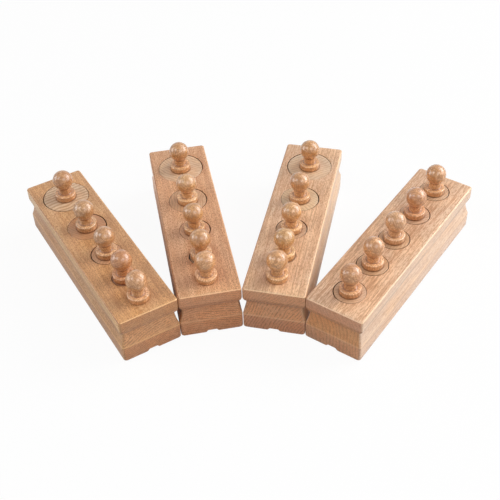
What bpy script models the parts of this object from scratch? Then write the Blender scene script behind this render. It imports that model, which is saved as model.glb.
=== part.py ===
# Knobbed cylinder blocks: a set of four wooden blocks, fanned out, each with a row of
# lift-out cylinders that carry a turned knob. Metres, +Z up, blocks standing on z = 0.
import math

import bmesh
import bpy
from mathutils import Matrix, Vector

mm = 0.001

# Cylinders
cylinders_per_block = 5
largest_diameter = 42.5 * mm
tallest_cylinder = 35.0 * mm
cylinder_spacing = 12.0 * mm
socket_clearance = 0.8 * mm
seat_gap = 0.3 * mm
lean_shift = 0.35 * mm

# Knobs
ball_diameter = 18.8 * mm
neck_diameter = 11.4 * mm
neck_length = 7.0 * mm
neck_fillet = 2.2 * mm
flange_diameter = 19.4 * mm
flange_height = 5.6 * mm
tenon_diameter = 8.0 * mm
tenon_length = 8.0 * mm
glue_gap = 0.3 * mm
bore_wall = 2.35 * mm
bore_floor = 2.7 * mm

# Blocks
side_wall = 5.85 * mm
far_margin = 11.9 * mm
near_margin = 13.1 * mm
socket_floor = 13.1 * mm
edge_round = 2.0 * mm
foot_round = 2.4 * mm
corner_round = 2.1 * mm
upper_band = 11.0 * mm
cove_height = 5.5 * mm
groove_depth = 2.8 * mm
groove_land = 2.0 * mm
flank_height = 13.0 * mm
channel_width = 10.0 * mm
channel_depth = 2.0 * mm

# Fan of blocks, left to right: each block's turn from +Y towards +X, and the gap where
# the near corners of neighbours almost touch
block_turns = (-32.0, -12.3, 11.2, 33.2)
corner_gap = 0.4 * mm

# Facets
cylinder_sides = 24
knob_sides = 14
corner_steps = 3
round_steps = 2
cove_steps = 3
fillet_steps = 2
ball_steps = 6
cut_overrun = 2.0 * mm

# Outline of the knob's foot, as shares of its radius and height, bottom to top
flange_shares = ((0.98, 0.0), (1.0, 0.15), (1.0, 0.68), (0.84, 1.0))

# Where each cylinder leans in its socket, in degrees from the far end towards the right
lean_angles = {
    "a": (60, 260, 80, 40, 100),
    "b": (215, 265, 280, 95, 70),
    "c": (130, 270, 200, 90, 300),
    "d": (300, 290, 315, 350, 60),
}

# Wood colours (linear), block by block and for the cylinder tops and the knobs
block_colours = {
    "a": (0.52, 0.30, 0.15),
    "b": (0.53, 0.28, 0.16),
    "c": (0.60, 0.37, 0.23),
    "d": (0.62, 0.38, 0.23),
}
cylinder_colour = (0.47, 0.31, 0.19)
knob_colour = (0.56, 0.27, 0.11)
block_roughness = 0.42
cylinder_roughness = 0.38
knob_roughness = 0.25

# Sizes that follow from the ones above
smallest_diameter = tenon_diameter + 2 * (glue_gap + bore_wall)
shortest_cylinder = tenon_length + seat_gap + bore_floor
block_width = largest_diameter + 2 * (socket_clearance + side_wall)
block_height = tallest_cylinder + seat_gap + socket_floor
flange_radius = flange_diameter / 2
neck_radius = neck_diameter / 2
ball_radius = ball_diameter / 2
ball_centre = flange_height + neck_length + math.sqrt(ball_radius**2 - neck_radius**2)


def spread(first, last):
    """Evenly stepped values, one for each cylinder of a block."""
    steps = cylinders_per_block - 1
    return [first + (last - first) * i / steps for i in range(cylinders_per_block)]


falling_diameters = spread(largest_diameter, smallest_diameter)
even_diameters = spread(*[(largest_diameter + smallest_diameter) / 2] * 2)
even_heights = spread(tallest_cylinder, tallest_cylinder)
falling_heights = spread(tallest_cylinder, shortest_cylinder)

# Each block's cylinders, far end first: diameters, then heights
cylinder_sizes = {
    "a": (falling_diameters, even_heights),
    "b": (falling_diameters, falling_heights),
    "c": (falling_diameters, falling_heights[::-1]),
    "d": (even_diameters, falling_heights),
}
row_length = sum(falling_diameters) + (cylinders_per_block - 1) * cylinder_spacing
block_length = near_margin + row_length + far_margin


def clear_scene():
    for item in list(bpy.data.objects):
        bpy.data.objects.remove(item, do_unlink=True)


def wood(name, colour, roughness):
    material = bpy.data.materials.new(name)
    material.use_nodes = True
    shader = material.node_tree.nodes["Principled BSDF"]
    shader.inputs["Base Color"].default_value = (*colour, 1.0)
    shader.inputs["Roughness"].default_value = roughness
    shader.inputs["Metallic"].default_value = 0.0
    material.diffuse_color = (*colour, 1.0)
    return material


def add_object(name, shape, material=None):
    """Turns a bmesh into a linked object, smooth on its round faces."""
    bmesh.ops.recalc_face_normals(shape, faces=shape.faces)
    mesh = bpy.data.meshes.new(name)
    shape.to_mesh(mesh)
    shape.free()
    mesh.shade_smooth()
    mesh.set_sharp_from_angle(angle=math.radians(35))
    item = bpy.data.objects.new(name, mesh)
    if material:
        item.data.materials.append(material)
    bpy.context.collection.objects.link(item)
    return item


def add_cutter(name, shape, block):
    """A guide solid that cuts the block and is itself left out of the model."""
    cutter = add_object(name, shape)
    cutter.hide_render = True
    cutter.display_type = "WIRE"
    cutter.parent = block
    cut = block.modifiers.new(name, "BOOLEAN")
    cut.operation = "DIFFERENCE"
    cut.solver = "EXACT"
    cut.object = cutter


def turn_profile(profile, sides):
    """Spins an outline of (radius, height) points round the Z axis into a closed solid."""
    shape = bmesh.new()
    points = [shape.verts.new((radius, 0, height)) for radius, height in profile]
    edges = [shape.edges.new(pair) for pair in zip(points, points[1:])]
    bmesh.ops.spin(
        shape, geom=points + edges, cent=(0, 0, 0), axis=(0, 0, 1),
        angle=math.tau, steps=sides, use_merge=True,
    )
    bmesh.ops.remove_doubles(shape, verts=shape.verts, dist=seat_gap / 100)
    return shape


def arc(centre, radii, start, end, steps):
    """Points on an elliptic arc in the (radius, height) plane, angles in degrees."""
    points = []
    for i in range(steps + 1):
        angle = math.radians(start + (end - start) * i / steps)
        points.append((centre[0] + radii[0] * math.cos(angle), centre[1] + radii[1] * math.sin(angle)))
    return points


# Block

def edge_levels():
    """The block's moulded side as (height, inset) levels, bottom to top."""
    groove_top = block_height - upper_band - cove_height
    groove_low = groove_top - groove_land
    lower_band = groove_low - flank_height
    foot = arc((foot_round, foot_round), (foot_round, foot_round), 270, 180, round_steps)
    cove = arc((groove_depth, groove_top + cove_height), (groove_depth, cove_height), 270, 180, cove_steps)
    rim = arc((edge_round, block_height - edge_round), (edge_round, edge_round), 180, 90, round_steps)
    levels = [(height, inset) for inset, height in foot]
    levels.append((lower_band, 0.0))
    levels.append((groove_low, groove_depth))
    levels += [(height, inset) for inset, height in cove]
    levels += [(height, inset) for inset, height in rim]
    return levels


def plan_outline(inset):
    """The block seen from above, pulled in by the inset, with rounded corners."""
    half = block_width / 2 - inset - corner_round
    low = inset + corner_round
    high = block_length - inset - corner_round
    corners = ((half, low, -90), (half, high, 0), (-half, high, 90), (-half, low, 180))
    points = []
    for x, y, start in corners:
        points += arc((x, y), (corner_round, corner_round), start, start + 90, corner_steps)
    return points


def make_block(letter):
    shape = bmesh.new()
    rings = []
    for height, inset in edge_levels():
        rings.append([shape.verts.new((x, y, height)) for x, y in plan_outline(inset)])
    for lower, upper in zip(rings, rings[1:]):
        for i in range(len(lower)):
            shape.faces.new((lower[i - 1], lower[i], upper[i], upper[i - 1]))
    shape.faces.new(rings[0])
    shape.faces.new(rings[-1])
    material = wood("block_" + letter, block_colours[letter], block_roughness)
    block = add_object("block_" + letter, shape, material)
    add_cutter("sockets_" + letter, socket_shape(letter), block)
    add_cutter("channel_" + letter, channel_shape(), block)
    return block


def row_places(diameters):
    """Distance of each cylinder's axis from the near end, far end first."""
    place = block_length - far_margin - diameters[0] / 2
    places = [place]
    for wide, narrow in zip(diameters, diameters[1:]):
        place -= wide / 2 + cylinder_spacing + narrow / 2
        places.append(place)
    return places


def socket_shape(letter):
    diameters, heights = cylinder_sizes[letter]
    sockets = bmesh.new()
    for diameter, height, place in zip(diameters, heights, row_places(diameters)):
        radius = diameter / 2 + socket_clearance
        floor = block_height - height - seat_gap
        top = block_height + cut_overrun
        shape = turn_profile([(0, floor), (radius, floor), (radius, top), (0, top)], cylinder_sides)
        bmesh.ops.translate(shape, verts=shape.verts, vec=(0, place, 0))
        mesh = bpy.data.meshes.new("socket")
        shape.to_mesh(mesh)
        shape.free()
        sockets.from_mesh(mesh)
        bpy.data.meshes.remove(mesh)
    return sockets


def channel_shape():
    """The shallow groove that runs the length of the block's underside."""
    shape = bmesh.new()
    bmesh.ops.create_cube(shape, size=1)
    size = (channel_width, block_length + 2 * cut_overrun, 2 * channel_depth)
    bmesh.ops.scale(shape, verts=shape.verts, vec=size)
    bmesh.ops.translate(shape, verts=shape.verts, vec=(0, block_length / 2, 0))
    return shape


# Cylinder and knob

def make_cylinder(name, diameter, height, block, place, lean):
    """A plain turned cylinder, its origin on its axis at the block's top, with the knob's bore."""
    radius = diameter / 2
    bore_radius = tenon_diameter / 2 + glue_gap
    bore_end = -(tenon_length + seat_gap)
    profile = [(0, -height), (radius, -height), (radius, 0), (bore_radius, 0), (bore_radius, bore_end), (0, bore_end)]
    item = add_object(name, turn_profile(profile, cylinder_sides), wood(name, cylinder_colour, cylinder_roughness))
    angle = math.radians(lean)
    item.parent = block
    item.location = (lean_shift * math.sin(angle), place + lean_shift * math.cos(angle), block_height)
    return item


def knob_profile():
    """Tenon, foot, neck and ball, bottom to top, with height 0 at the foot's underside."""
    tenon = tenon_diameter / 2
    fillet_centre = (neck_radius + neck_fillet, flange_height + neck_fillet)
    low_angle = -math.degrees(math.acos(neck_radius / ball_radius))
    profile = [(0, -tenon_length), (tenon, -tenon_length), (tenon, 0)]
    profile += [(flange_radius * r, flange_height * h) for r, h in flange_shares]
    profile += arc(fillet_centre, (neck_fillet, neck_fillet), 270, 180, fillet_steps)
    profile += arc((0, ball_centre), (ball_radius, ball_radius), low_angle, 90, ball_steps)[:-1]
    profile.append((0, ball_centre + ball_radius))
    return profile


def make_knob(name, cylinder):
    """A turned knob whose tenon is glued into the cylinder's bore."""
    knob = add_object(name, turn_profile(knob_profile(), knob_sides), wood(name, knob_colour, knob_roughness))
    knob.parent = cylinder
    knob.location = (0, 0, seat_gap)
    return knob


# Fan

def block_axes(turn):
    """A block's right-hand and far-end directions, seen from above."""
    angle = math.radians(turn)
    return Vector((math.cos(angle), -math.sin(angle))), Vector((math.sin(angle), math.cos(angle)))


def corner_centres(place, turn):
    """Centres of a block's four corner rounds: near left, near right, far left, far right."""
    right, far = block_axes(turn)
    half = block_width / 2 - corner_round
    ends = (corner_round, block_length - corner_round)
    return [place + end * far + side * right for end in ends for side in (-half, half)]


def fan_places():
    """Near-end centre of each block: near corners one corner_gap apart, whole fan centred."""
    places = [Vector((0, 0))]
    for turn, next_turn in zip(block_turns, block_turns[1:]):
        near_right = corner_centres(places[-1], turn)[1]
        between = block_axes((turn + next_turn) / 2)[0]
        near_left = near_right + (2 * corner_round + corner_gap) * between
        places.append(near_left - corner_centres(Vector((0, 0)), next_turn)[0])
    rounds = [c for place, turn in zip(places, block_turns) for c in corner_centres(place, turn)]
    middle = Vector([(min(c[i] for c in rounds) + max(c[i] for c in rounds)) / 2 for i in (0, 1)])
    return [place - middle for place in places]


def build_set():
    clear_scene()
    for letter, place, turn in zip("abcd", fan_places(), block_turns):
        block = make_block(letter)
        block.matrix_world = Matrix.Translation((*place, 0)) @ Matrix.Rotation(-math.radians(turn), 4, "Z")
        diameters, heights = cylinder_sizes[letter]
        rows = zip(diameters, heights, row_places(diameters), lean_angles[letter])
        for number, (diameter, height, along, lean) in enumerate(rows, start=1):
            tag = letter + str(number)
            cylinder = make_cylinder("cylinder_" + tag, diameter, height, block, along, lean)
            make_knob("knob_" + tag, cylinder)
    bpy.context.view_layer.update()
    print("block", [round(v / mm, 2) for v in (block_length, block_width, block_height)])


build_set()
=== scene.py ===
import math

import bmesh
import bpy
from mathutils import Matrix, Vector


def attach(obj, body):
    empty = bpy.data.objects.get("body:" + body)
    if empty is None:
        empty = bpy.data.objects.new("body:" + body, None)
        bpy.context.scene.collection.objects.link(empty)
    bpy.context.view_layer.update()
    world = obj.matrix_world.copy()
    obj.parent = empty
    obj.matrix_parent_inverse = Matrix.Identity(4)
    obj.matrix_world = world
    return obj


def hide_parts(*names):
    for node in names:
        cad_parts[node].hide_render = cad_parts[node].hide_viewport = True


mm = 0.001

# The cylinders and their sockets
cylinders_per_block = 5
largest_diameter = 42.5 * mm
tallest_cylinder = 35.0 * mm
cylinder_spacing = 12.0 * mm
socket_clearance = 0.8 * mm
seat_gap = 0.3 * mm
lean_shift = 0.35 * mm
cylinder_round = 0.35 * mm
mouth_round = 0.2 * mm
seam_width = 0.6 * mm

# Knobs
ball_diameter = 18.8 * mm
neck_diameter = 11.4 * mm
neck_length = 7.0 * mm
neck_fillet = 0.7 * mm
flange_diameter = 19.4 * mm
flange_height = 5.6 * mm
flange_round = 0.9 * mm
heel_round = 0.5 * mm
tenon_diameter = 8.0 * mm
tenon_length = 8.0 * mm
glue_gap = 0.3 * mm
bore_wall = 2.35 * mm
bore_floor = 2.7 * mm

# Blocks
side_wall = 5.85 * mm
far_margin = 11.9 * mm
near_margin = 13.1 * mm
socket_floor = 13.1 * mm
edge_round = 1.5 * mm
foot_round = 2.4 * mm
corner_round = 2.1 * mm
corner_ease = 0.25 * mm
upper_band = 11.0 * mm
cove_height = 4.6 * mm
groove_depth = 2.8 * mm
groove_land = 1.0 * mm
flank_height = 14.6 * mm
flank_hollow = 0.85
channel_width = 7.6 * mm
channel_depth = 3.6 * mm
channel_flare = 3.2 * mm

# The fan: each block's turn from +Y towards +X, and the gap between near corners
block_turns = (-32.0, -12.3, 11.2, 33.2)
corner_gap = 0.4 * mm

# Facets
cylinder_sides = 96
knob_sides = 64
corner_steps = 7
round_steps = 5
cove_steps = 10
flank_steps = 8
fillet_steps = 8
ball_steps = 26
shoulder_steps = 8
ease_steps = 4
smooth_angle = 35
merge_distance = 0.003 * mm
cut_overrun = 2.0 * mm

# Where each cylinder leans in its socket, in degrees from the far end towards the right
lean_angles = {
    "a": (60, 260, 80, 40, 100),
    "b": (215, 265, 280, 95, 70),
    "c": (130, 270, 200, 90, 300),
    "d": (300, 290, 315, 350, 60),
}

# Sizes that follow from the ones above
smallest_diameter = tenon_diameter + 2 * (glue_gap + bore_wall)
shortest_cylinder = tenon_length + seat_gap + bore_floor
block_width = largest_diameter + 2 * (socket_clearance + side_wall)
block_height = tallest_cylinder + seat_gap + socket_floor
band_foot = block_height - upper_band
flank_foot = band_foot - cove_height - groove_land - flank_height
flange_radius = flange_diameter / 2
neck_radius = neck_diameter / 2
ball_radius = ball_diameter / 2
ball_centre = flange_height + neck_length + math.sqrt(ball_radius**2 - neck_radius**2)


def spread(first, last):
    """Evenly stepped values, one for each cylinder of a block."""
    steps = cylinders_per_block - 1
    return [first + (last - first) * i / steps for i in range(cylinders_per_block)]


falling_diameters = spread(largest_diameter, smallest_diameter)
even_diameters = spread(*[(largest_diameter + smallest_diameter) / 2] * 2)
even_heights = spread(tallest_cylinder, tallest_cylinder)
falling_heights = spread(tallest_cylinder, shortest_cylinder)
cylinder_sizes = {
    "a": (falling_diameters, even_heights),
    "b": (falling_diameters, falling_heights),
    "c": (falling_diameters, falling_heights[::-1]),
    "d": (even_diameters, falling_heights),
}
row_length = sum(falling_diameters) + (cylinders_per_block - 1) * cylinder_spacing
block_length = near_margin + row_length + far_margin


# Shapes

def add_object(name, shape, material, seat=None):
    """Turns a bmesh into a linked object whose mesh is already in the row frame."""
    if seat:
        bmesh.ops.transform(shape, matrix=seat, verts=shape.verts)
    bmesh.ops.recalc_face_normals(shape, faces=shape.faces)
    mesh = bpy.data.meshes.new(name)
    shape.to_mesh(mesh)
    shape.free()
    mesh.shade_smooth()
    mesh.set_sharp_from_angle(angle=math.radians(smooth_angle))
    item = bpy.data.objects.new(name, mesh)
    if material:
        mesh.materials.append(material)
    bpy.context.scene.collection.objects.link(item)
    return item


def turn_profile(profile, sides):
    """Spins an outline of (radius, height) points round the Z axis into a closed solid."""
    shape = bmesh.new()
    points = [shape.verts.new((radius, 0, height)) for radius, height in profile]
    edges = [shape.edges.new(pair) for pair in zip(points, points[1:])]
    bmesh.ops.spin(
        shape, geom=points + edges, cent=(0, 0, 0), axis=(0, 0, 1),
        angle=math.tau, steps=sides, use_merge=True,
    )
    bmesh.ops.remove_doubles(shape, verts=shape.verts, dist=merge_distance)
    return shape


def arc(centre, radii, start, end, steps):
    """Points on an elliptic arc in the (radius, height) plane, angles in degrees."""
    points = []
    for i in range(steps + 1):
        angle = math.radians(start + (end - start) * i / steps)
        points.append((centre[0] + radii[0] * math.cos(angle), centre[1] + radii[1] * math.sin(angle)))
    return points


def edge_levels():
    """The block's moulded side as (height, inset) levels, bottom to top."""
    foot = arc((foot_round, foot_round), (foot_round, foot_round), 270, 180, round_steps)
    cove = arc((groove_depth, band_foot), (groove_depth, cove_height), 270, 180, cove_steps)
    rim = arc((edge_round, block_height - edge_round), (edge_round, edge_round), 180, 90, round_steps)
    levels = [(height, inset) for inset, height in foot]
    for i in range(flank_steps + 1):
        share = i / flank_steps
        scoop = share + flank_hollow * share * (1 - share)
        levels.append((flank_foot + flank_height * share, groove_depth * scoop))
    levels += [(height, inset) for inset, height in cove]
    levels += [(height, inset) for inset, height in rim]
    return levels


def plan_outline(inset, corner):
    """The block seen from above, pulled in by the inset, with its corners rounded."""
    half = block_width / 2 - inset - corner
    low = inset + corner
    high = block_length - inset - corner
    centres = ((half, low, -90), (half, high, 0), (-half, high, 90), (-half, low, 180))
    points = []
    for x, y, start in centres:
        points += arc((x, y), (corner, corner), start, start + 90, corner_steps)
    return points


def row_places(diameters):
    """Distance of each cylinder's axis from the near end, far end first."""
    place = block_length - far_margin - diameters[0] / 2
    places = [place]
    for wide, narrow in zip(diameters, diameters[1:]):
        place -= wide / 2 + cylinder_spacing + narrow / 2
        places.append(place)
    return places


def socket_shape(letter):
    """The five sockets as one cutter, each flared a little at its mouth."""
    diameters, heights = cylinder_sizes[letter]
    sockets = bmesh.new()
    for diameter, height, place in zip(diameters, heights, row_places(diameters)):
        radius = diameter / 2 + seam_width
        floor = block_height - height - seat_gap
        top = block_height + cut_overrun
        mouth_centre = (radius + mouth_round, block_height - mouth_round)
        mouth = arc(mouth_centre, (mouth_round, mouth_round), 180, 90, ease_steps)
        profile = [(0, floor), (radius, floor)] + mouth + [(radius + mouth_round, top), (0, top)]
        shape = turn_profile(profile, cylinder_sides)
        bmesh.ops.translate(shape, verts=shape.verts, vec=(0, place, 0))
        mesh = bpy.data.meshes.new("socket")
        shape.to_mesh(mesh)
        shape.free()
        sockets.from_mesh(mesh)
        bpy.data.meshes.remove(mesh)
    return sockets


def channel_shape():
    """The shallow groove that runs the length of the block's underside, wider at its mouth."""
    shape = bmesh.new()
    half = channel_width / 2
    slope = channel_flare / channel_depth
    mouth = half + channel_flare + slope * cut_overrun
    section = ((-mouth, -cut_overrun), (mouth, -cut_overrun), (half, channel_depth), (-half, channel_depth))
    rings = []
    for place in (-cut_overrun, block_length + cut_overrun):
        rings.append([shape.verts.new((x, place, z)) for x, z in section])
    for i in range(len(section)):
        shape.faces.new((rings[0][i - 1], rings[0][i], rings[1][i], rings[1][i - 1]))
    shape.faces.new(rings[0])
    shape.faces.new(rings[1])
    return shape


def cut(item, shape, seat):
    """Takes a closed shape out of the item's mesh for good."""
    cutter = add_object(item.name + "_cutter", shape, None, seat)
    modifier = item.modifiers.new("cut", "BOOLEAN")
    modifier.operation = "DIFFERENCE"
    modifier.solver = "EXACT"
    modifier.object = cutter
    bpy.context.view_layer.update()
    cut_mesh = bpy.data.meshes.new_from_object(item.evaluated_get(bpy.context.evaluated_depsgraph_get()))
    item.modifiers.clear()
    item.data = cut_mesh
    bpy.data.objects.remove(cutter)


def make_block(letter, material, seat):
    shape = bmesh.new()
    rings = []
    for height, inset in edge_levels():
        worn = inset if height < foot_round else 0
        outline = plan_outline(inset, corner_round + corner_ease + worn)
        rings.append([shape.verts.new((x, y, height)) for x, y in outline])
    for lower, upper in zip(rings, rings[1:]):
        for i in range(len(lower)):
            shape.faces.new((lower[i - 1], lower[i], upper[i], upper[i - 1]))
    shape.faces.new(rings[0])
    shape.faces.new(rings[-1])
    block = add_object("wood_block_" + letter, shape, material, seat)
    cut(block, socket_shape(letter), seat)
    cut(block, channel_shape(), seat)
    block.data.shade_smooth()
    block.data.set_sharp_from_angle(angle=math.radians(smooth_angle))
    return block


def make_cylinder(tag, diameter, height, material, seat):
    """A turned cylinder with eased edges, its origin on its axis at the block's top, and the knob's bore."""
    radius = diameter / 2
    bore_radius = tenon_diameter / 2 + glue_gap
    bore_end = -(tenon_length + seat_gap)
    ease = (cylinder_round, cylinder_round)
    profile = [(0, -height)]
    profile += arc((radius - cylinder_round, cylinder_round - height), ease, 270, 360, ease_steps)
    profile += arc((radius - cylinder_round, -cylinder_round), ease, 0, 90, ease_steps)
    profile += [(bore_radius, 0), (bore_radius, bore_end), (0, bore_end)]
    return add_object("wood_cylinder_" + tag, turn_profile(profile, cylinder_sides), material, seat)


def knob_profile():
    """Tenon, foot, neck and ball, bottom to top, with height 0 at the foot's underside."""
    tenon = tenon_diameter / 2
    fillet_centre = (neck_radius + neck_fillet, flange_height + neck_fillet)
    low_angle = -math.degrees(math.acos(neck_radius / ball_radius))
    profile = [(0, -tenon_length), (tenon, -tenon_length), (tenon, 0)]
    profile += arc((flange_radius - heel_round, heel_round), (heel_round, heel_round), 270, 360, ease_steps)
    shoulder_centre = (flange_radius - flange_round, flange_height - flange_round)
    profile += arc(shoulder_centre, (flange_round, flange_round), 0, 90, shoulder_steps)
    profile += arc(fillet_centre, (neck_fillet, neck_fillet), 270, 180, fillet_steps)
    profile += arc((0, ball_centre), (ball_radius, ball_radius), low_angle, 90, ball_steps)[:-1]
    profile.append((0, ball_centre + ball_radius))
    return profile


def make_knob(tag, material, seat):
    return add_object("wood_knob_" + tag, turn_profile(knob_profile(), knob_sides), material, seat)


# Fan

def block_axes(turn):
    """A block's right-hand and far-end directions, seen from above."""
    angle = math.radians(turn)
    return Vector((math.cos(angle), -math.sin(angle))), Vector((math.sin(angle), math.cos(angle)))


def corner_centres(place, turn):
    """Centres of a block's four corner rounds: near left, near right, far left, far right."""
    right, far = block_axes(turn)
    half = block_width / 2 - corner_round
    ends = (corner_round, block_length - corner_round)
    return [place + end * far + side * right for end in ends for side in (-half, half)]


def fan_places():
    """Near-end centre of each block: near corners one corner_gap apart, whole fan centred."""
    places = [Vector((0, 0))]
    for turn, next_turn in zip(block_turns, block_turns[1:]):
        near_right = corner_centres(places[-1], turn)[1]
        between = block_axes((turn + next_turn) / 2)[0]
        near_left = near_right + (2 * corner_round + corner_gap) * between
        places.append(near_left - corner_centres(Vector((0, 0)), next_turn)[0])
    rounds = [c for place, turn in zip(places, block_turns) for c in corner_centres(place, turn)]
    middle = Vector([(min(c[i] for c in rounds) + max(c[i] for c in rounds)) / 2 for i in (0, 1)])
    return [place - middle for place in places]


# Wood

class Wires:
    """Adds shader nodes to one material and joins them up."""

    def __init__(self, material):
        self.nodes = material.node_tree.nodes
        self.links = material.node_tree.links

    def add(self, kind, inputs=None, **settings):
        node = self.nodes.new(kind)
        for name, value in settings.items():
            setattr(node, name, value)
        for name, value in (inputs or {}).items():
            socket = node.inputs[name]
            if isinstance(value, bpy.types.NodeSocket):
                self.links.new(value, socket)
            else:
                socket.default_value = value
        return node

    def maths(self, operation, first, second=0.0, clamp=False):
        inputs = {0: first, 1: second}
        return self.add("ShaderNodeMath", inputs, operation=operation, use_clamp=clamp).outputs[0]

    def times(self, first, second):
        return self.maths("MULTIPLY", first, second)

    def length(self, first, second):
        """How far from the origin a point with these two coordinates lies."""
        squares = [self.times(part, part) for part in (first, second)]
        return self.maths("SQRT", self.maths("ADD", *squares))

    def split(self, vector):
        return self.add("ShaderNodeSeparateXYZ", {0: vector}).outputs

    def along(self, vector, direction):
        node = self.add("ShaderNodeVectorMath", {0: vector, 1: direction}, operation="DOT_PRODUCT")
        return node.outputs["Value"]

    def scaled(self, vector, scale, offset):
        inputs = {"Vector": vector, "Scale": scale, "Location": offset}
        return self.add("ShaderNodeMapping", inputs).outputs[0]

    def noise(self, vector, detail=2.0, roughness=0.55, distortion=0.0):
        inputs = {
            "Vector": vector, "Scale": 1.0, "Detail": detail, "Roughness": roughness,
            "Distortion": distortion,
        }
        return self.add("ShaderNodeTexNoise", inputs).outputs["Fac"]

    def cells(self, vector):
        """Scattered spots, 1 in their cores, with a share of them left out."""
        spots = self.add("ShaderNodeTexVoronoi", {"Vector": vector, "Scale": 1.0})
        pick = self.split(spots.outputs["Color"])[0]
        kept = self.range(pick, cells_left_out, cells_left_out + cells_left_faint)
        return self.times(self.range(spots.outputs["Distance"], cell_core, cell_rim, 1.0, 0.0), kept)

    def range(self, value, low, high, to_low=0.0, to_high=1.0):
        inputs = {"Value": value, "From Min": low, "From Max": high, "To Min": to_low, "To Max": to_high}
        return self.add("ShaderNodeMapRange", inputs, interpolation_type="SMOOTHSTEP").outputs[0]

    def fade(self, place, start, end, full=1.0):
        """0 at the start to full at the end, along a place in millimetres."""
        return self.range(place, start / mm, end / mm, 0.0, full)

    def mix(self, fac, first, second, blend="MIX"):
        node = self.add("ShaderNodeMix", data_type="RGBA", blend_type=blend)
        for socket, value in ((node.inputs[0], fac), (node.inputs[6], first), (node.inputs[7], second)):
            if isinstance(value, bpy.types.NodeSocket):
                self.links.new(value, socket)
            elif socket == node.inputs[0]:
                socket.default_value = value
            else:
                socket.default_value = (*value, 1.0)
        return node.outputs[2]

    def tint(self, colour, mask, tint):
        """The colour, multiplied by the tint where the mask is 1."""
        return self.mix(mask, colour, self.mix(1.0, colour, tint, "MULTIPLY"))


# Beech: how each pattern is stretched across, along and through the grain, per millimetre
warp_scale = (0.025, 0.006, 0.025)
warp_rings = 5.0
break_scale = (0.3, 0.015, 0.3)
streak_scale = (0.2, 0.01, 0.2)
fibre_scale = (0.8, 0.03, 0.8)
pore_scale = 1.4
pore_stretch = 0.9
patch_scale = (0.05, 0.02, 0.05)
blotch_scale = (0.3, 0.3, 0.38)
fine_roughness = 0.6
blotch_noise = dict(detail=3.0, roughness=0.7, distortion=1.2)
seed_steps = (37.1, 91.7, 53.3)

# The values between which each pattern goes from nothing to full
late_wood_rise = (0.3, 0.8)
late_wood_fall = (0.8, 1.0)
break_range = (0.35, 0.6)
streak_range = (0.42, 0.66)
fibre_range = (0.46, 0.60)
pore_range = (0.49, 0.60)
patch_range = (0.35, 0.65)
blotch_range = (0.4, 0.62)
cell_core = 0.15
cell_rim = 0.42
cells_left_out = 0.45
cells_left_faint = 0.25

# Shades of the light colour
sharp_tint = (0.55, 0.38, 0.28)
warm_patch = (1.04, 0.97, 0.9)
cool_patch = (0.97, 1.0, 1.06)
end_dark = (0.42, 0.32, 0.25)

# Lacquer
lacquer_ior = 1.5
polish_range = (0.3, 0.7)
polish_change = (-0.04, 0.05)
dash_relief = -0.4
bump_strength = 0.15
bump_height = 0.2 * mm

# Every piece's look unless its own table says otherwise. The patterns' values are their strengths
# By default no painted sheen on the right side, no painted light near the near end and no painted shade in
# creases
usual_look = dict(
    ring_width=3.0, ring=0.4, ring_breaks=0.9, streak=0.45, fibre=0.5, dash=0.5, dash_size=(1.2, 5.0),
    pore=0.5, blotch=0.0, dark=(0.66, 0.52, 0.45), right_sheen_tint=(1, 1, 1), near_light=0.0, creases=(),
    upright=False, tilt=0, roughness=0.42, coat=0.35, coat_roughness=0.2,
)

# On a block's ends each pattern keeps this share, and less of the rings on the upper band
end_shares = {"streak": 0.6, "fibre": 0.3, "dash": 0.15, "pore": 0.9, "ring": 1.9}
band_rings = 0.55
right_calm = 0.6

# How squarely a face has to look one way to count as facing it
facing = (0.75, 0.95)
off_end = (0.5, 0.0)

# Painted light and shade on a block, and its tint there: painted shade in the groove, on the lower band and
# on the rims that face left, a painted sheen on the left band, painted highlights on the other rims and the
# lip, and painted light on the top near the near end
groove_shade_tint = (0.84, 0.80, 0.78)
groove_rise = (7.5 * mm, 0.5 * mm)
groove_drop = 0.7 * mm
lower_band_shade_tint = (0.92, 0.89, 0.93)
foot_reach = 1.5 * mm
foot_right = 0.3
end_foot_reach = 1.0 * mm
band_fade = 0.5 * mm
left_rim_shade_tint = (0.76, 0.60, 0.48)
left_rim_facing = (-0.2, -0.4)
left_band_sheen_tint = (1.23, 1.36, 1.26)
left_band_reach = 1.0 * mm
left_facing = (-0.75, -0.95)
edge_highlight_tint = (1.16, 1.18, 1.14)
edge_highlight_evenness = 0.6
rim_rise = (0.4, 0.6)
rim_drop = (0.97, 0.85)
other_rims_facing = (-0.3, -0.1)
lip_rise = 1.0 * mm
lip_drop = (1.4 * mm, 0.2 * mm)
near_light_tint = (1.14, 1.17, 1.14)
near_reach = (18.0 * mm, 3.0 * mm)

# Painted shade in the sockets, just below their mouths
socket_shade_tint = (0.26, 0.21, 0.18)
socket_shade = (0.1 * mm, 0.4 * mm)
socket_area_fade = 0.5 * mm
socket_area_floor = (9.0 * mm, 10.0 * mm)

# Painted shade in the creases of a turned piece, and a painted sheen on the paler shelf of the knob's foot
crease_shade_tint = (0.58, 0.46, 0.36)
shelf_sheen_tint = (1.25, 1.40, 1.60)
shelf_rise = (1.0 * mm, 0.3 * mm)
shelf_drop = (0.7 * mm, 0.2 * mm)
shelf_out = (0.8 * mm, 1.8 * mm)

# Each block's look, with the ends' tint (the end grain's own colour with painted light for how the ends are
# lit), a painted sheen on the right side, and the strengths of the painted highlight on the lip and the
# painted light near the near end
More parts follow.
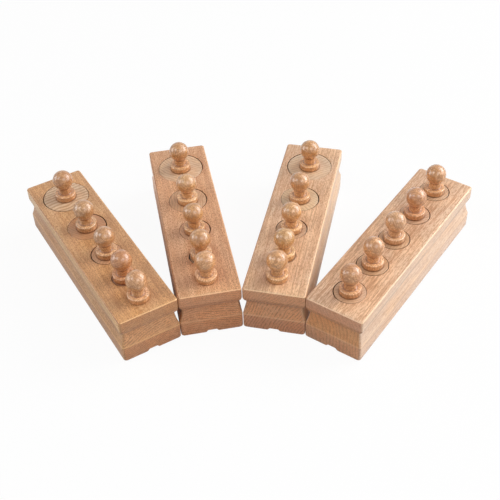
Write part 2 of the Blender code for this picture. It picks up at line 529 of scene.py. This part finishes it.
block_woods = {
    "a": dict(
        light=(0.79, 0.472, 0.228), pith=(30, -90), ring_width=2.2, streak=0.4, fibre=0.6, dash=0.55,
        dash_size=(0.8, 2.2), pore=0.8, end_tint=(1.10, 1.01, 1.00), band_tint=(0.83, 0.79, 0.75),
        low_tint=(0.98, 0.93, 0.89), lip_highlight=1.0, near_light=0.7,
    ),
    "b": dict(
        light=(0.85, 0.505, 0.284), pith=(-10, -70), ring_width=2.4, streak=0.4, fibre=0.4, dash=0.65,
        dash_size=(0.75, 1.8), pore=0.9, end_tint=(1.08, 0.90, 0.76), band_tint=(0.98, 0.99, 1.04),
        low_tint=(1.07, 1.07, 1.02), lip_highlight=0.5, near_light=1.0,
    ),
    "c": dict(
        light=(0.93, 0.64, 0.41), pith=(90, -30), ring_width=2.6, streak=0.3, fibre=0.6, dash=0.2,
        dash_size=(0.8, 2.5), pore=0.65, end_tint=(0.96, 0.73, 0.57), band_tint=(1.00, 1.01, 1.07),
        low_tint=(1.01, 0.98, 1.01), right_sheen_tint=(0.97, 1.04, 1.08), lip_highlight=0.5, near_light=0.4,
    ),
    "d": dict(
        light=(0.945, 0.645, 0.415), pith=(-70, 10), ring_width=3.3, ring=0.25, streak=0.2, fibre=0.8,
        dash=0.5, dash_size=(0.7, 3.4), pore=0.6, end_tint=(0.87, 0.63, 0.40), band_tint=(0.95, 1.0, 1.36),
        low_tint=(1.07, 1.19, 1.48), right_sheen_tint=(0.98, 1.04, 1.13), lip_highlight=0.4,
    ),
}

# Cylinders: where the pith lies, ring width and strength, and a tint
plug_looks = {
    "a1": ((-30, 160), 3.8, 1.4, (1.00, 1.09, 1.12)),
    "a2": ((90, 60), 2.8, 0.6, (0.74, 0.60, 0.49)),
    "a3": ((50, -80), 2.8, 0.6, (0.85, 0.74, 0.65)),
    "a4": ((50, 20), 3.0, 0.5, (0.76, 0.58, 0.50)),
    "b1": ((110, 110), 3.0, 0.9, (1.04, 1.10, 1.13)),
    "b2": ((80, -20), 2.8, 0.7, (0.87, 0.81, 0.74)),
    "b3": ((80, 40), 2.8, 0.6, (0.88, 0.77, 0.71)),
    "c1": ((-80, 90), 3.0, 0.7, (1.00, 1.09, 1.15)),
    "c2": ((60, 90), 3.0, 0.6, (0.98, 1.11, 1.15)),
    "c3": ((60, -30), 3.0, 0.6, (0.78, 0.75, 0.72)),
    "d1": ((-90, 10), 2.6, 0.6, (0.88, 0.90, 0.90)),
    "d2": ((-60, 50), 2.6, 0.6, (0.87, 0.84, 0.84)),
    "d3": ((-90, -40), 2.6, 0.6, (0.83, 0.81, 0.76)),
    "d4": ((-90, 10), 2.6, 0.6, (0.84, 0.82, 0.77)),
    "d5": ((-70, 60), 2.6, 0.5, (0.93, 0.93, 0.95)),
}
usual_plug = ((-90, 10), 2.8, 0.5, (0.86, 0.82, 0.76))
plug_light = (0.805, 0.53, 0.325)
# Painted shade round the foot of the plug's knob
plug_crease_reach = 1.2 * mm
plug_wood = dict(
    ring_breaks=0.5, streak=0.3, fibre=0.2, dash=0.1, dash_size=(1.4, 4.0), pore=0.15, upright=True,
    creases=((flange_radius, 0, plug_crease_reach),),
)

# Knobs: a tint for each, far end first, and how far the grain leans from upright
knob_tints = {
    "a": ((0.94, 0.92, 0.91), (0.93, 0.98, 1.04), (0.96, 0.99, 1.04), (0.96, 0.85, 0.80), (1.08, 1.09, 1.15)),
    "b": ((1.00, 1.01, 1.00), (1.11, 1.21, 1.27), (0.98, 1.00, 0.95), (1.01, 1.03, 1.03), (1.14, 1.15, 1.18)),
    "c": ((1.02, 1.06, 1.05), (1.05, 1.09, 1.12), (1.11, 1.17, 1.16), (1.08, 1.19, 1.17), (1.11, 1.14, 1.14)),
    "d": ((1.04, 1.05, 1.06), (0.99, 0.93, 0.95), (1.09, 1.18, 1.36), (1.08, 1.09, 1.14), (1.02, 0.97, 0.96)),
}
knob_tilts = (25, -40, 60, -15, 45, -65, 10)
knob_pith = 9
knob_light = (0.93, 0.54, 0.255)
knob_seed_step = 40
heel_crease_reach = 1.3 * mm
shelf_crease_reach = 1.4 * mm
ball_crease_reach = 1.5 * mm
knob_wood = dict(
    ring_width=2.0, ring=0.8, ring_breaks=0.6, streak=0.4, fibre=0.3, dash=0.8, dash_size=(1.0, 2.2),
    pore=0.6, blotch=1.0, upright=True, dark=(0.52, 0.40, 0.31), roughness=0.3, coat=0.8, coat_roughness=0.14,
    # Painted shade in the creases at the heel, at the shelf and under the ball
    creases=(
        (flange_radius, 0, heel_crease_reach),
        (neck_radius, flange_height, shelf_crease_reach),
        (neck_radius, flange_height + neck_length, ball_crease_reach),
    ),
)


def tinted(colour, tint):
    return tuple(channel * part for channel, part in zip(colour, tint))


def lay_out(w, seat, look):
    """The place on the piece in its own millimetres, and the same turned until the grain runs along Y."""
    inputs = {
        "Vector": w.add("ShaderNodeTexCoord").outputs["Object"], "Location": seat.to_translation(),
        "Rotation": (0, 0, seat.to_euler().z), "Scale": (mm, mm, mm),
    }
    own = w.add("ShaderNodeMapping", inputs, vector_type="TEXTURE").outputs[0]
    if not look["upright"]:
        return own, own
    turn = (math.radians(90 + look["tilt"]), 0, 0)
    return own, w.add("ShaderNodeMapping", {"Vector": own, "Rotation": turn}).outputs[0]


def ring_pattern(w, grain, drift, look):
    """The dark late wood of the growth rings round the pith, broken up along the grain."""
    warp = w.noise(w.scaled(grain, warp_scale, drift))
    parts = w.split(grain)
    places = zip((parts[0], parts[2]), look["pith"])
    from_pith = [w.maths("SUBTRACT", part, middle) for part, middle in places]
    rings_out = w.maths("DIVIDE", w.length(*from_pith), look["ring_width"])
    phase = w.maths("FRACT", w.maths("ADD", rings_out, w.times(warp, warp_rings)))
    late_wood = w.maths("SUBTRACT", w.range(phase, *late_wood_rise), w.range(phase, *late_wood_fall))
    breaks = w.noise(w.scaled(grain, break_scale, drift))
    return w.times(late_wood, w.range(breaks, *break_range, 1.0 - look["ring_breaks"], 1.0))


def grain_patterns(w, own, grain, drift, look):
    """Broad streaks, long thin fibres, pores, the short dark dashes of the rays, and uneven colour."""
    across, along = look["dash_size"]
    dash_scale = (1 / across, 1 / along, 1 / across)
    pore_scales = (pore_scale, pore_stretch / along, pore_scale)
    return {
        "streak": w.noise(w.scaled(grain, streak_scale, drift)),
        "fibre": w.noise(w.scaled(grain, fibre_scale, drift), roughness=fine_roughness),
        "dash": w.cells(w.scaled(grain, dash_scale, drift)),
        "pore": w.noise(w.scaled(grain, pore_scales, drift), roughness=fine_roughness),
        "patch": w.noise(w.scaled(grain, patch_scale, -drift)),
        "blotch": w.noise(w.scaled(own, blotch_scale, drift), **blotch_noise),
    }


def block_faces(w, own, angle):
    """Where on a block a point lies: its place, the way its face looks, and masks for the main faces."""
    normal = w.add("ShaderNodeTexCoord").outputs["Normal"]
    parts = w.split(own)
    to_end = w.along(normal, (-math.sin(angle), math.cos(angle), 0))
    to_right = w.along(normal, (math.cos(angle), math.sin(angle), 0))
    ends = w.range(w.maths("ABSOLUTE", to_end), *facing)
    on_band = w.fade(parts[2], band_foot - band_fade, band_foot + band_fade)
    return {
        "along": parts[1], "height": parts[2], "up": w.split(normal)[2], "to_right": to_right, "ends": ends,
        "right": w.range(to_right, *facing), "end_bands": w.times(on_band, ends),
    }


def face_shares(w, shares, faces):
    """On the ends the fibres stop and the rings show instead, and the right side is calmer."""
    calm = w.range(faces["right"], 0.0, 1.0, 1.0, right_calm)
    shares = {
        kind: w.times(calm, w.range(faces["ends"], 0.0, 1.0, share, share * end_shares[kind]))
        for kind, share in shares.items()
    }
    shares["ring"] = w.times(shares["ring"], w.range(faces["end_bands"], 0.0, 1.0, 1.0, band_rings))
    return shares


def wood_colour(w, look, patterns, rings, faces):
    """The light colour with each pattern laid over it in its deep or sharp shade."""
    light = look["light"]
    deep = tinted(light, look["dark"])
    sharp = tinted(light, sharp_tint)
    ring_shade = deep
    shares = {kind: look[kind] for kind in end_shares}
    if faces:
        shares = face_shares(w, shares, faces)
        ring_shade = w.mix(faces["ends"], deep, tinted(light, end_dark))
    layers = (
        ("streak", w.range(patterns["streak"], *streak_range), deep),
        ("fibre", w.range(patterns["fibre"], *fibre_range), deep),
        ("ring", rings, ring_shade),
        ("pore", w.range(patterns["pore"], *pore_range), sharp),
        ("dash", patterns["dash"], sharp),
    )
    patch = w.range(patterns["patch"], *patch_range)
    colour = w.mix(patch, tinted(light, warm_patch), tinted(light, cool_patch))
    for kind, mask, shade in layers:
        colour = w.mix(w.maths("MULTIPLY", mask, shares[kind], clamp=True), colour, shade)
    return w.mix(w.range(patterns["blotch"], *blotch_range, 0.0, look["blotch"]), colour, deep)


def block_colour(w, colour, look, faces, own):
    """A block's tints from face to face, the ends' tint partly painted light, with a painted sheen on the
    right side, painted light and shade on the moulding, painted light near the near end, and painted shade in
    its sockets.
    """
    ends = faces["ends"]
    height = faces["height"]
    # The ends' tint: the end grain's own colour, with painted light for how the ends are lit
    colour = w.tint(colour, ends, look["end_tint"])
    # Painted sheen on the right side
    colour = w.tint(colour, faces["right"], look["right_sheen_tint"])
    colour = painted_moulding_light(w, colour, look, faces)
    # Painted light on the top near the near end
    near_end = w.fade(faces["along"], *near_reach, look["near_light"])
    colour = w.tint(colour, w.times(near_end, w.range(ends, *off_end)), near_light_tint)
    colour = w.tint(colour, faces["end_bands"], look["band_tint"])
    end_feet = w.times(w.fade(height, flank_foot, flank_foot - end_foot_reach), ends)
    colour = w.tint(colour, end_feet, look["low_tint"])
    # Painted shade in the sockets, just below their mouths
    shade_start, shade_full = [block_height - depth for depth in socket_shade]
    in_socket = w.times(w.fade(height, shade_start, shade_full), socket_area(w, own))
    return w.tint(colour, in_socket, socket_shade_tint)


def socket_area(w, own):
    """1 inside the block, away from its outer faces and its underside."""
    edge = groove_depth + edge_round
    side = block_width / 2 - edge
    far = block_length - edge
    parts = w.split(own)
    inside = w.fade(w.maths("ABSOLUTE", parts[0]), side, side - socket_area_fade)
    for part, start, end in (
        (parts[1], edge, edge + socket_area_fade),
        (parts[1], far, far - socket_area_fade),
        (parts[2], *socket_area_floor),
    ):
        inside = w.times(inside, w.fade(part, start, end))
    return inside


def painted_moulding_light(w, colour, look, faces):
    """Painted shade in the groove, on the lower band and on the rims that face left, a painted sheen on the
    left band, and painted highlights on the other rims and the lip.
    """
    height = faces["height"]
    to_right = faces["to_right"]
    groove_start, groove_full = [band_foot - depth for depth in groove_rise]
    lip_start, lip_full = [flank_foot + rise for rise in lip_drop]

    # Painted shade in the groove below the upper band
    below_band = w.fade(height, band_foot + groove_drop, band_foot)
    colour = w.tint(colour, w.times(w.fade(height, groove_start, groove_full), below_band), groove_shade_tint)
    # Painted shade on the lower band, less of it on the right side
    at_foot = w.fade(height, flank_foot, flank_foot - foot_reach)
    colour = w.tint(colour, w.times(at_foot, w.range(to_right, *facing, 1.0, foot_right)), lower_band_shade_tint)

    on_rim = w.times(w.range(faces["up"], *rim_rise), w.range(faces["up"], *rim_drop))
    # Painted shade on the rims that face left
    colour = w.tint(colour, w.times(on_rim, w.range(to_right, *left_rim_facing)), left_rim_shade_tint)
    # Painted sheen on the upper band of the left side
    on_band = w.fade(height, band_foot, band_foot + left_band_reach)
    colour = w.tint(colour, w.times(on_band, w.range(to_right, *left_facing)), left_band_sheen_tint)

    # Painted highlights on the lip and on the rims that do not face left
    on_lip = w.times(w.fade(height, flank_foot - lip_rise, flank_foot), w.fade(height, lip_start, lip_full))
    other_rims = w.times(on_rim, w.range(to_right, *other_rims_facing))
    edges = w.maths("MAXIMUM", w.times(on_lip, look["lip_highlight"]), other_rims)
    highlighted = w.mix(1.0, colour, edge_highlight_tint, "MULTIPLY")
    return w.mix(edges, colour, w.mix(edge_highlight_evenness, highlighted, tinted(look["light"], edge_highlight_tint)))


def crease_shade_and_shelf_sheen(w, colour, own, creases):
    """Painted shade round a turned piece at each (radius, height), fading out over the reach, and a painted
    sheen on the shelf of the knob's foot.
    """
    parts = w.split(own)
    out = w.length(parts[0], parts[1])
    # Painted shade in each crease
    for ring_radius, level, reach in creases:
        aside = w.maths("SUBTRACT", out, ring_radius / mm)
        away = w.length(aside, w.maths("SUBTRACT", parts[2], level / mm))
        colour = w.tint(colour, w.fade(away, reach, 0.0), crease_shade_tint)
    # Painted sheen on the shelf of the knob's foot
    start, full = [flange_height - depth for depth in shelf_rise]
    end, still_full = [flange_height + rise for rise in shelf_drop]
    inner, outer = [neck_radius + step for step in shelf_out]
    shelf = w.times(w.fade(parts[2], start, full), w.fade(parts[2], end, still_full))
    return w.tint(colour, w.times(shelf, w.fade(out, inner, outer)), shelf_sheen_tint)


def lacquer(w, colour, look, patterns):
    """A clear coat over slightly uneven wood, its fibres a little raised and its dashes sunk."""
    least, most = [look["roughness"] + change for change in polish_change]
    relief = w.maths("ADD", patterns["fibre"], w.times(patterns["dash"], dash_relief))
    bump = {"Height": relief, "Strength": bump_strength, "Distance": bump_height}
    surface = w.add("ShaderNodeBsdfPrincipled", {
        "Base Color": colour, "Roughness": w.range(patterns["patch"], *polish_range, least, most),
        "Normal": w.add("ShaderNodeBump", bump).outputs[0], "IOR": lacquer_ior,
        "Coat Weight": look["coat"], "Coat Roughness": look["coat_roughness"],
    }).outputs[0]
    w.add("ShaderNodeOutputMaterial", {"Surface": surface})


def beech(name, seat, seed, changes):
    """Lacquered beech in the piece's own millimetres. Its grain runs along local Y, or along local Z if
    upright. The pith, in mm from the origin, sets how the growth rings cross each face."""
    look = {**usual_look, **changes}
    material = bpy.data.materials.new(name)
    material.use_nodes = True
    w = Wires(material)
    w.nodes.clear()
    drift = Vector([seed * step for step in seed_steps])
    own, grain = lay_out(w, seat, look)
    faces = block_faces(w, own, seat.to_euler().z) if "end_tint" in look else None
    rings = ring_pattern(w, grain, drift, look)
    patterns = grain_patterns(w, own, grain, drift, look)
    colour = wood_colour(w, look, patterns, rings, faces)
    if faces:
        colour = block_colour(w, colour, look, faces, own)
    # Painted shade in the creases, and a painted sheen on the knob's shelf
    if look["creases"]:
        colour = crease_shade_and_shelf_sheen(w, colour, own, look["creases"])
    lacquer(w, colour, look, patterns)
    return material


# The object

def place_piece(piece, body, node):
    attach(piece, body)
    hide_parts(node)


def dress_cylinder(tag, seat, diameter, height, seed, knob_tint):
    """One cylinder and its knob."""
    pith, ring_width, ring, tint = plug_looks.get(tag, usual_plug)
    look = dict(plug_wood, light=tinted(plug_light, tint), pith=pith, ring_width=ring_width, ring=ring)
    plug = make_cylinder(tag, diameter, height, beech("beech_cylinder_" + tag, seat, seed, look), seat)
    place_piece(plug, "cylinder_" + tag, "cylinder_" + tag)
    knob_seat = seat @ Matrix.Translation((0, 0, seat_gap))
    look = dict(
        knob_wood, light=tinted(knob_light, knob_tint), tilt=knob_tilts[seed % len(knob_tilts)],
        pith=(knob_pith * math.cos(seed), knob_pith * math.sin(seed)),
    )
    knob = make_knob(tag, beech("beech_knob_" + tag, knob_seat, seed + knob_seed_step, look), knob_seat)
    place_piece(knob, "cylinder_" + tag, "knob_" + tag)


def dress_blocks():
    """The four blocks, each with its cylinders. Every block and cylinder has a seed of its own."""
    seed = 0
    for letter, place, turn in zip("abcd", fan_places(), block_turns):
        seed += 1
        stand = Matrix.Translation((*place, 0)) @ Matrix.Rotation(-math.radians(turn), 4, "Z")
        wood = beech("beech_block_" + letter, stand, seed, block_woods[letter])
        place_piece(make_block(letter, wood, stand), "block_" + letter, "block_" + letter)
        diameters, heights = cylinder_sizes[letter]
        rows = zip(diameters, heights, row_places(diameters), lean_angles[letter], knob_tints[letter])
        for number, (diameter, height, along, lean, knob_tint) in enumerate(rows, start=1):
            seed += 1
            angle = math.radians(lean)
            shift = (lean_shift * math.sin(angle), along + lean_shift * math.cos(angle), block_height)
            seat = stand @ Matrix.Translation(shift)
            dress_cylinder(letter + str(number), seat, diameter, height, seed, knob_tint)


# Studio

floor_half = 3.0
floor_colour = (0.52, 0.51, 0.50)
white_paint = (0.95, 0.95, 0.95)
seen_glow = 0.94
mirrored_glow = 0.12
air_strength = 0.07
lamp_aim = (0, 0, 30 * mm)

# Lamps: compass angle from +Y towards +X, elevation, distance, width and height, watts
lamps = {
    "key": (68, 28, 2.6, (1.6, 1.3), 33.5),
    "key_high": (60, 50, 2.6, (1.6, 1.3), 15.0),
    "right": (95, 20, 2.6, (1.6, 1.3), 17.4),
    "left": (275, 18, 2.2, (1.2, 1.0), 13.0),
    "front_right": (145, 45, 2.2, (1.4, 1.2), 12.8),
    "front_left": (240, 47, 2.2, (0.9, 0.9), 9.5),
}

# The photograph's view: angles in degrees, the point it looks at, and the focal length in pixels
camera_azimuth = -2.716
camera_pitch = 42.906
camera_roll = -2.117
camera_target = (2.031 * mm, 17.536 * mm, 0)
camera_distance = 931.39 * mm
focal_pixels = 958.6
image_width = 500
sensor_width = 36


def make_floor():
    shape = bmesh.new()
    bmesh.ops.create_grid(shape, x_segments=1, y_segments=1, size=floor_half)
    material = bpy.data.materials.new("studio_floor")
    material.use_nodes = True
    w = Wires(material)
    w.nodes.clear()
    path = w.add("ShaderNodeLightPath")
    mirrored = w.maths("MAXIMUM", path.outputs["Is Glossy Ray"], path.outputs["Is Transmission Ray"])
    lit = w.add("ShaderNodeBsdfDiffuse", {"Color": (*floor_colour, 1)}).outputs[0]
    white = w.add("ShaderNodeBsdfDiffuse", {"Color": (*white_paint, 1)}).outputs[0]
    glow = w.add("ShaderNodeEmission", {"Color": (1, 1, 1, 1), "Strength": 1.0}).outputs[0]
    pale = w.add("ShaderNodeMixShader", {0: seen_glow, 1: white, 2: glow}).outputs[0]
    shaded = w.add("ShaderNodeMixShader", {0: mirrored_glow, 1: white, 2: glow}).outputs[0]
    mixed = w.add("ShaderNodeMixShader", {0: mirrored, 1: lit, 2: shaded}).outputs[0]
    mixed = w.add("ShaderNodeMixShader", {0: path.outputs["Is Camera Ray"], 1: mixed, 2: pale}).outputs[0]
    w.add("ShaderNodeOutputMaterial", {"Surface": mixed})
    floor = add_object("studio_floor", shape, material)


def make_world():
    world = bpy.data.worlds.new("studio")
    bpy.context.scene.world = world
    world.use_nodes = True
    w = Wires(world)
    w.nodes.clear()
    path = w.add("ShaderNodeLightPath")
    mirrored = w.maths("MAXIMUM", path.outputs["Is Glossy Ray"], path.outputs["Is Transmission Ray"])
    seen = w.maths("MAXIMUM", path.outputs["Is Camera Ray"], mirrored)
    air = w.add("ShaderNodeBackground", {"Color": (1, 1, 1, 1), "Strength": air_strength}).outputs[0]
    white = w.add("ShaderNodeBackground", {"Color": (1, 1, 1, 1), "Strength": 1.0}).outputs[0]
    mixed = w.add("ShaderNodeMixShader", {0: seen, 1: air, 2: white}).outputs[0]
    w.add("ShaderNodeOutputWorld", {"Surface": mixed})


def softbox(name, compass, elevation, distance, size, power):
    """A rectangular lamp at a compass angle from +Y towards +X, turned to the aim."""
    lamp = bpy.data.lights.new(name, "AREA")
    lamp.shape = "RECTANGLE"
    lamp.size, lamp.size_y = size
    lamp.energy = power
    item = bpy.data.objects.new(name, lamp)
    across = math.radians(compass)
    rise = math.radians(elevation)
    back = Vector((math.sin(across) * math.cos(rise), math.cos(across) * math.cos(rise), math.sin(rise)))
    item.location = Vector(lamp_aim) + distance * back
    item.rotation_euler = (-back).to_track_quat("-Z", "Y").to_euler()
    bpy.context.scene.collection.objects.link(item)


def make_camera():
    azimuth = math.radians(camera_azimuth)
    pitch = math.radians(camera_pitch)
    roll = math.radians(camera_roll)
    level = Vector((math.cos(azimuth), -math.sin(azimuth), 0))
    forward = Vector((math.sin(azimuth), math.cos(azimuth), 0))
    ahead = math.cos(pitch) * forward - math.sin(pitch) * Vector((0, 0, 1))
    upright = level.cross(ahead)
    right = math.cos(roll) * level + math.sin(roll) * upright
    up = math.cos(roll) * upright - math.sin(roll) * level
    camera = bpy.data.cameras.new("camera")
    camera.sensor_width = sensor_width
    camera.lens = sensor_width * focal_pixels / image_width
    item = bpy.data.objects.new("camera", camera)
    turn = Matrix((right, up, -ahead)).transposed().to_4x4()
    item.matrix_world = Matrix.Translation(Vector(camera_target) - camera_distance * ahead) @ turn
    bpy.context.scene.collection.objects.link(item)
    bpy.context.scene.camera = item


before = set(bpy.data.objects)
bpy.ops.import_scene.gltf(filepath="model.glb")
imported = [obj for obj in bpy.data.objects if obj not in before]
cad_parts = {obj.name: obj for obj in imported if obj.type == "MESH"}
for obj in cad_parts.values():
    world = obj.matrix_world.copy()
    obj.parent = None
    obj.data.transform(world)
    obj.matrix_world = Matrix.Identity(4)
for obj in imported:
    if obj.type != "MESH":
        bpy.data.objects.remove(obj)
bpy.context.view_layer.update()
bpy.context.scene.view_settings.view_transform = "Standard"
dress_blocks()
make_floor()
make_world()
for lamp_name, settings in lamps.items():
    softbox(lamp_name, *settings)
make_camera()
